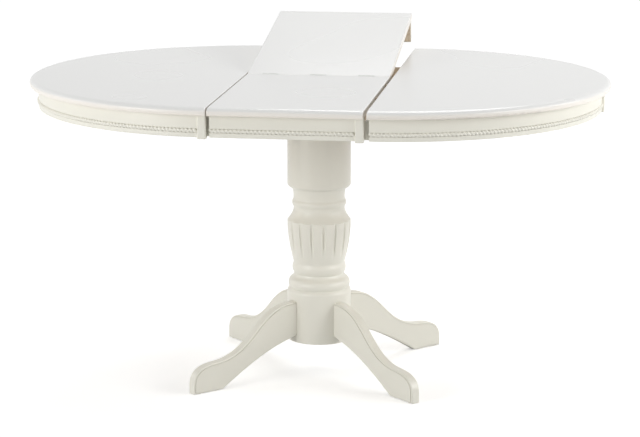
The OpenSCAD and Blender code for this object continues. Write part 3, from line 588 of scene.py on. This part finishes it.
class TABLE_OT_column(bpy.types.Operator):
    """Turns the column and cuts the flutes of its vase"""

    bl_idname = "table.column"
    bl_label = "Column"

    # Radii of the turning, in millimetres
    base, shoulder, ring, neck, collar, cornice, drum = 80.0, 74.3, 70.0, 62.6, 64.1, 67.5, 79.3
    bore = 44
    # Heights of the turning, in millimetres
    foot, base_top, bore_top, shoulder_foot, ring_top, cove_top = 82, 204, 210, 216.5, 241.5, 251.5
    vase_foot, belly_top, rim, collar_foot, bead, bead_top = 280, 375, 388, 415, 424, 441
    cornice_top, ledge, drum_foot = 469.5, 470.5, 478.5
    # Heights between which the flutes' cutter climbs and the radii of its centre there
    flute_foot, flute_top, cutter_low, cutter_high = 290, 391, 70.6, 81.2
    first_flute = math.radians(16.8)
    steps_per_flute = 14

    def profile(self):
        """The turning's outline as radii and heights, from the bore up to the top."""
        base, neck, collar, drum = self.base, self.neck, self.collar, self.drum
        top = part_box("column")[1].z / MM
        points = [Vector((0, self.bore_top)), Vector((self.bore, self.bore_top))]
        points += [Vector((self.bore, self.foot))]
        points += arc((base - 3, self.foot), (base, self.foot + 3), 0.9, 5)
        points += [Vector((base, self.foot + 3)), Vector((base, self.base_top))]
        points += arc((base, self.base_top), (base - 5, self.base_top + 11), 1.4, 6)[1:]
        points += arc((self.shoulder, self.shoulder_foot), (self.ring, self.ring_top), 4.8, 14)
        points += arc((self.ring, self.ring_top), (neck, self.cove_top), -1.4, 6)
        points += arc((neck, self.cove_top + 1), (collar - 0.2, self.vase_foot - 1), 3.9, 14)
        points += arc((collar, self.vase_foot + 1), (drum, self.belly_top), 2.7, 50)
        points += [Vector((drum, self.belly_top + 2 * i)) for i in range(7)]
        points += arc((drum, self.rim), (collar, self.collar_foot), -1.9, 12)
        points += [Vector((collar, self.collar_foot)), Vector((collar, self.bead))]
        points += arc((collar + 1.2, self.bead), (collar + 0.6, self.bead_top), 2.8, 12)
        points += arc((collar + 0.6, self.bead_top), (self.cornice, self.cornice_top), -1.5, 12)
        points += [Vector((self.cornice, self.cornice_top)), Vector((self.cornice, self.ledge))]
        points += arc((self.cornice + 4, self.ledge), (drum, self.drum_foot), 1.2, 8)
        points += [Vector((drum, self.drum_foot)), Vector((drum, top - 1)), Vector((drum - 1, top))]
        return points + [Vector((0, top))]

    def cut_flute(self, v, shape):
        """Moves a vertex of the vase in to the round cutter, or rounds the reed beside it."""
        height = v.co.z / MM
        radius = math.hypot(v.co.x, v.co.y)
        if not self.vase_foot < height < self.rim + 2:
            return
        sector = 2 * math.pi / shape.flutes
        turn = math.atan2(v.co.y, v.co.x) - self.first_flute
        across = abs((turn / sector + 0.5) % 1 - 0.5)
        beside = across * sector * radius
        climb = (height - self.flute_foot) / (self.flute_top - self.flute_foot)
        centre = (self.cutter_low + climb * (self.cutter_high - self.cutter_low)) * MM
        rise = min(1, max(0, climb * 6))
        crown = shape.reed_crown * rise * (1 - 2 * across) ** 2
        reach = shape.flute_radius ** 2 - beside ** 2
        cut = centre - math.sqrt(reach) if reach > 0 else radius
        v.co.xy *= min(radius - crown, cut) / radius

    def crowd_steps(self, v, sector):
        """Moves the steps of the turning nearer to the flutes, where the surface turns quickly."""
        radius = math.hypot(v.co.x, v.co.y)
        if radius < WELD:
            return
        turn = (math.atan2(v.co.y, v.co.x) - self.first_flute) / sector
        middle = math.floor(turn + 0.5)
        across = turn - middle
        across = math.copysign(0.5 * abs(2 * across) ** 1.6, across)
        angle = self.first_flute + (middle + across) * sector
        v.co.xy = (radius * math.cos(angle), radius * math.sin(angle))

    def execute(self, context):
        shape = context.scene.table_shape
        bm = bmesh.new()
        ends = [bm.verts.new((p.x * MM, 0, p.y * MM)) for p in self.profile()]
        edges = [bm.edges.new(pair) for pair in zip(ends, ends[1:])]
        bmesh.ops.rotate(bm, verts=bm.verts[:], matrix=Matrix.Rotation(self.first_flute, 3, "Z"))
        steps = shape.flutes * self.steps_per_flute
        bmesh.ops.spin(
            bm, geom=ends + edges, cent=(0, 0, 0), axis=(0, 0, 1), angle=2 * math.pi,
            steps=steps, use_merge=True, use_normal_flip=False, use_duplicate=False)
        bmesh.ops.remove_doubles(bm, verts=bm.verts[:], dist=WELD)
        for v in bm.verts:
            self.crowd_steps(v, 2 * math.pi / shape.flutes)
            self.cut_flute(v, shape)
        bmesh.ops.recalc_face_normals(bm, faces=bm.faces[:])
        finish_piece(bm, "turned_column", ["column"], [ivory_lacquer()], crease=38)
        return {"FINISHED"}


class TABLE_OT_legs(bpy.types.Operator):
    """Shapes the four legs, with rounded edges and a small step beside each"""

    bl_idname = "table.legs"
    bl_label = "Legs"

    headings = {
        "leg_rear_right": 45, "leg_rear_left": 135, "leg_front_left": 225, "leg_front_right": 315}

    def execute(self, context):
        shape = context.scene.table_shape
        for node, heading in self.headings.items():
            turn = Matrix.Rotation(math.radians(heading), 4, "Z")
            bm = merged_copy(node)
            bm.transform(turn.inverted())
            half = max(v.co.y for v in bm.verts)
            bmesh.ops.delete(
                bm, context="FACES",
                geom=[f for f in bm.faces if min(v.co.y for v in f.verts) < half - WELD])
            bmesh.ops.dissolve_faces(bm, faces=bm.faces[:], use_verts=False)
            bmesh.ops.translate(bm, verts=bm.verts[:], vec=(0, -shape.leg_step, 0))
            grown = bmesh.ops.extrude_face_region(bm, geom=bm.faces[:], use_keep_orig=True)
            bmesh.ops.translate(
                bm, verts=[g for g in grown["geom"] if isinstance(g, bmesh.types.BMVert)],
                vec=(0, -2 * (half - shape.leg_step), 0))
            bmesh.ops.recalc_face_normals(bm, faces=bm.faces[:])
            outline = [(v.co.copy(), self.looks_down(v)) for v in bm.verts]
            rims = [e for e in sharp_edges(bm, math.radians(80)) if self.is_rim(e)]
            ease(bm, rims, shape.leg_round, 4)
            for v in bm.verts:
                if self.is_low(v, outline):
                    v.co.y += math.copysign(shape.leg_step, v.co.y)
            sides = [f for f in bm.faces if abs(f.normal.y) > 0.99 and f.calc_area() > 0.005]
            for side in sides:
                self.sink_quirk(bm, side, half, shape, outline)
            bmesh.ops.remove_doubles(bm, verts=bm.verts[:], dist=WELD)
            for f in bm.faces:
                # Faces looking down take the second finish, a flat darker grey: painted shade under the
                # legs
                f.material_index = int(f.normal.z < -0.3 and abs(f.normal.y) < 0.3)
            bm.transform(turn)
            bmesh.ops.recalc_face_normals(bm, faces=bm.faces[:])
            finish_piece(bm, "curved_" + node, [node], [ivory_lacquer(), underside_painted_shade()])
        return {"FINISHED"}

    def looks_down(self, vert):
        """Do all the narrow faces at this corner of the outline look down?"""
        return all(f.normal.z < -0.3 for f in vert.link_faces if abs(f.normal.y) < 0.5)

    def is_low(self, vert, outline):
        """Is the nearest corner of the outline on the underside?"""
        return min(outline, key=lambda o: (o[0].xz - vert.co.xz).length)[1]

    def sink_quirk(self, bm, side, half, shape, outline):
        """Cuts the fine groove and the step beside the upper edges and the tip of a side."""
        way = math.copysign(1, side.normal.y)
        bmesh.ops.inset_individual(bm, faces=[side], thickness=shape.leg_quirk)
        for v in side.verts:
            low = self.is_low(v, outline)
            v.co.y = way * (half if low else half - shape.leg_step - shape.leg_quirk)
        raised = bmesh.ops.extrude_face_region(bm, geom=[side])
        for v in raised["geom"]:
            if isinstance(v, bmesh.types.BMVert):
                v.co.y = way * half
        bmesh.ops.delete(bm, geom=[side], context="FACES_ONLY")

    def is_rim(self, edge):
        return any(abs(f.normal.y) > 0.999 for f in edge.link_faces)


class TABLE_OT_tops(bpy.types.Operator):
    """Rounds the edge of the half-round tops and the leaf under its slope"""

    bl_idname = "table.tops"
    bl_label = "Tops and leaf"

    # The cove under the edge of the solids, in millimetres: its height, its depth and how far
    # its centre lies in from the edge. The quarter round has the same height and its own depth.
    cove_height, cove_depth, cove_set_in, round_depth = 5.5, 6.1, 0.5, 4.5
    # The rims of the dowel holes have shorter edges than this
    hole_edge = 0.8 * MM

    def execute(self, context):
        shape = context.scene.table_shape
        for node in ("left_top", "right_top", "front_leaf", "rear_leaf"):
            bm = merged_copy(node)
            if node == "rear_leaf":
                bm.transform(LEAF_TURN.inverted())
            for v in bm.verts:
                self.fill_cove(v)
            if node == "rear_leaf":
                bm.transform(LEAF_TURN)
            rims = [e for e in sharp_edges(bm, math.radians(35)) if self.at_joint(e)]
            ease(bm, rims, shape.joint_round, 4, clamp=False)
            finish_piece(bm, "lacquered_" + node, [node], [lacquered_board()])
        return {"FINISHED"}

    def fill_cove(self, v):
        """Moves a vertex of the cove to the quarter round in its place."""
        middle = Vector((max(-HALF_X, min(HALF_X, v.co.x)), 0, v.co.z))
        across = v.co - middle
        depth = (EDGE_OUT - across.length) / MM
        height = (v.co.z - UNDER_TOP) / MM
        if depth > self.cove_depth or height > self.cove_height:
            return
        turn = min(math.pi / 2, math.atan2(height, depth - self.cove_set_in))
        v.co = middle + across.normalized() * (
            EDGE_OUT - self.round_depth * (1 - math.sin(turn)) * MM)
        v.co.z = UNDER_TOP + self.cove_height * (1 - math.cos(turn)) * MM

    def at_joint(self, edge):
        """Is it an outer edge of a joint face, and not the rim of a dowel hole?"""
        short = edge.calc_length() < self.hole_edge
        round_hole = short and all(len(v.link_edges) == 3 for v in edge.verts)
        ends = [f for f in edge.link_faces if abs(f.normal.x) > 0.99 and f.calc_area() > 0.001]
        return bool(ends) and not round_hole


class TABLE_OT_aprons(bpy.types.Operator):
    """Finishes the aprons, lacquered outside and at their ends and bare inside"""

    bl_idname = "table.aprons"
    bl_label = "Aprons"

    def execute(self, context):
        shape = context.scene.table_shape
        materials = [ivory_lacquer(), planed_wood("X")]
        for node in ("left_apron", "right_apron", "front_leaf_apron", "rear_leaf_apron"):
            bm = merged_copy(node)
            lifted = node == "rear_leaf_apron"
            if lifted:
                bm.transform(LEAF_TURN.inverted())
            rims = [
                e for e in sharp_edges(bm, math.radians(60))
                if all(abs(v.co.z - APRON_FOOT) < WELD for v in e.verts)]
            ease(bm, rims, shape.arris * 1.3)
            for f in bm.faces:
                way = outward(f.calc_center_median())
                f.material_index = int(f.normal.dot(way) < -0.5)
            if lifted:
                bm.transform(LEAF_TURN)
            finish_piece(bm, "moulded_" + node, [node], materials)
        return {"FINISHED"}


class TABLE_OT_ropes(bpy.types.Operator):
    """Carves the rope mouldings, strand by strand"""

    bl_idname = "table.ropes"
    bl_label = "Rope mouldings"

    # The flat back that fills the groove, and the round core, from the rope's axis in millimetres
    back, bed, bed_top, core = -2.4, -0.2, 5.1, 3.7

    def place(self, point, way):
        """The frame of a strand: x runs along the rope, y out of the apron and z up."""
        out = way.cross(Vector((0, 0, 1)))
        turn = Matrix((way, out, Vector((0, 0, 1)))).transposed().to_4x4()
        return Matrix.Translation(point) @ turn

    def along_round(self, side, start, end):
        """Frames along a half-round, from the start angle to the end angle."""
        centre = Vector((side * HALF_X, 0, ROPE_Z))
        count = round((end - start) * ROPE_OUT / self.pitch)
        for i in range(count):
            a = start + (i + 0.5) / count * (end - start)
            out = Vector((math.cos(a), math.sin(a), 0))
            yield self.place(centre + out * self.middle, Vector((-out.y, out.x, 0)))

    def along_leaf(self, x0, x1):
        """Frames along the front edge of the leaf."""
        count = round((x1 - x0) / self.pitch)
        for i in range(count):
            point = Vector((x0 + (i + 0.5) / count * (x1 - x0), -self.middle, ROPE_Z))
            yield self.place(point, Vector((1, 0, 0)))

    def add_strand(self, bm, place, shape):
        """One strand: a bead with blunt ends that leans over the rope."""
        made = bmesh.ops.create_uvsphere(bm, u_segments=10, v_segments=6, radius=1.0)
        for v in made["verts"]:
            girth = max(0.2, 1 - v.co.z ** 2) ** -0.2
            v.co.xy *= girth
        size = Matrix.Diagonal((shape.strand_length / 2, self.radius, shape.strand_width / 2, 1))
        lean = Matrix.Rotation(shape.rope_slope, 4, "Y")
        bmesh.ops.transform(
            bm, verts=made["verts"], matrix=place @ lean @ size @ Matrix.Rotation(math.pi / 2, 4, "Y"))

    def add_core(self, bm, places):
        """The flat back and the plain round core under the strands, through all the frames."""
        half = [Vector((0, self.back, self.bed_top)), Vector((0, self.bed, self.bed_top))]
        half += [Vector((0, self.bed, self.core))]
        turns = [math.radians(a) for a in (72, 48, 24)]
        half += [Vector((0, self.core * math.cos(a), self.core * math.sin(a))) for a in turns]
        section = half + [Vector((0, self.core, 0))] + [Vector((0, p.y, -p.z)) for p in half[::-1]]
        rings = []
        for place in places:
            ring = [bm.verts.new(place @ (p * MM)) for p in section]
            rings.append([bm.edges.new(pair) for pair in zip(ring, ring[1:] + ring[:1])])
        for a, b in zip(rings, rings[1:]):
            bmesh.ops.bridge_loops(bm, edges=a + b)

    def execute(self, context):
        shape = context.scene.table_shape
        self.pitch = shape.rope_pitch
        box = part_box("front_leaf_rope")
        self.radius = (box[1].z - box[0].z) / 2
        self.middle = ROPE_OUT - self.radius
        self.carve("left_rope", self.round_ends("left_rope", -1), shape)
        self.carve("right_rope", self.round_ends("right_rope", 1), shape)
        places = list(self.along_leaf(box[0].x, box[1].x))
        self.carve("front_leaf_rope", [places], shape)
        flip = Matrix.Rotation(math.pi, 4, "Z")
        middle = Matrix.Translation(Vector((box[0].x + box[1].x, 0, 0)))
        rear = [[LEAF_TURN @ middle @ flip @ p for p in places]]
        self.carve("rear_leaf_rope", rear, shape)
        return {"FINISHED"}

    def round_ends(self, node, side):
        """The two runs of a half-round's rope, which its tip block parts."""
        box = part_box(node)
        start_x = min(abs(box[0].x), abs(box[1].x)) - HALF_X
        joint = math.acos(min(1, start_x / ROPE_OUT))
        block = (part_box("right_block")[1].y + 0.4 * MM) / ROPE_OUT
        if side > 0:
            spans = [(-joint, -block), (block, joint)]
        else:
            spans = [(math.pi - joint, math.pi - block), (math.pi + block, math.pi + joint)]
        return [list(self.along_round(side, a, b)) for a, b in spans]

    def carve(self, node, runs, shape):
        bm = bmesh.new()
        for run in runs:
            self.add_core(bm, run)
            for place in run:
                self.add_strand(bm, place, shape)
        bmesh.ops.recalc_face_normals(bm, faces=bm.faces[:])
        finish_piece(bm, "carved_" + node, [node], [ivory_lacquer()], crease=80)


class TABLE_OT_blocks(bpy.types.Operator):
    """Eases the edges of the cover blocks over the apron joints and of the battens behind"""

    bl_idname = "table.blocks"
    bl_label = "Cover blocks and battens"

    nodes = (
        "left_blocks", "right_block", "front_leaf_block", "rear_leaf_block", "left_battens",
        "right_battens")

    def execute(self, context):
        shape = context.scene.table_shape
        for node in self.nodes:
            bm = merged_copy(node)
            ease(bm, sharp_edges(bm, math.radians(60)), shape.arris)
            finish_piece(bm, "eased_" + node, [node], [ivory_lacquer()])
        return {"FINISHED"}


class TABLE_OT_underframe(bpy.types.Operator):
    """Finishes the planed rails, runners, bearers and dowels"""

    bl_idname = "table.underframe"
    bl_label = "Wooden frame"

    grain = {
        "fixed_rail_front": "X", "fixed_rail_rear": "X", "cross_rail_left": "Y",
        "cross_rail_right": "Y", "bearer_front": "X", "bearer_rear": "X", "left_runners": "X",
        "right_runners": "X", "leaf_dowels": "X", "right_dowels": "X"}

    def execute(self, context):
        shape = context.scene.table_shape
        for node, grain in self.grain.items():
            bm = merged_copy(node)
            if "dowels" in node:
                ease(bm, sharp_edges(bm, math.radians(60)), 0.8 * MM)
            else:
                ease(bm, sharp_edges(bm, math.radians(60), 30 * MM), shape.arris)
            finish_piece(bm, "planed_" + node, [node], [planed_wood(grain)])
        return {"FINISHED"}


class TABLE_OT_fittings(bpy.types.Operator):
    """Finishes the steel, nylon and plastic fittings"""

    bl_idname = "table.fittings"
    bl_label = "Fittings"

    def execute(self, context):
        finishes = {
            "zinc_steel": zinc_plated_steel(), "black_steel": black_powder_coat(),
            "white_hinge": white_painted_hinge(), "nylon": moulded_nylon(),
            "glide_plastic": glide_plastic()}
        for part in frame["record"]["subparts"]:
            if part["material_slot"] in finishes:
                bm = merged_copy(part["node"])
                finish_piece(
                    bm, "fitted_" + part["node"], [part["node"]], [finishes[part["material_slot"]]])
        return {"FINISHED"}


class TABLE_PT_panel(bpy.types.Panel):
    """Lists the table's sizes and finishes and the steps that make it"""

    bl_idname = "TABLE_PT_panel"
    bl_label = "Extending Dining Table"
    bl_space_type = "VIEW_3D"
    bl_region_type = "UI"
    bl_category = "Table"

    def draw(self, context):
        scene = context.scene
        for group in (scene.table_stage, scene.table_shape, scene.table_finish):
            column = self.layout.column(align=True)
            for key in group.__annotations__:
                column.prop(group, key)
        for step in STEPS:
            self.layout.operator(step.bl_idname)


SETTINGS = {"table_stage": TableStage, "table_shape": TableShape, "table_finish": TableFinish}
STEPS = (
    TABLE_OT_stage, TABLE_OT_column, TABLE_OT_legs, TABLE_OT_tops, TABLE_OT_aprons,
    TABLE_OT_ropes, TABLE_OT_blocks, TABLE_OT_underframe, TABLE_OT_fittings)


def register():
    for group in SETTINGS.values():
        bpy.utils.register_class(group)
    for step in (*STEPS, TABLE_PT_panel):
        bpy.utils.register_class(step)
    for name, group in SETTINGS.items():
        setattr(bpy.types.Scene, name, PointerProperty(type=group))


def unregister():
    for name in SETTINGS:
        delattr(bpy.types.Scene, name)
    for step in reversed((*STEPS, TABLE_PT_panel)):
        bpy.utils.unregister_class(step)
    for group in reversed(list(SETTINGS.values())):
        bpy.utils.unregister_class(group)


def main():
    register()
    bpy.ops.table.stage()
    bpy.ops.table.column()
    bpy.ops.table.legs()
    bpy.ops.table.tops()
    bpy.ops.table.aprons()
    bpy.ops.table.ropes()
    bpy.ops.table.blocks()
    bpy.ops.table.underframe()
    bpy.ops.table.fittings()


if __name__ == "__main__":
    main()
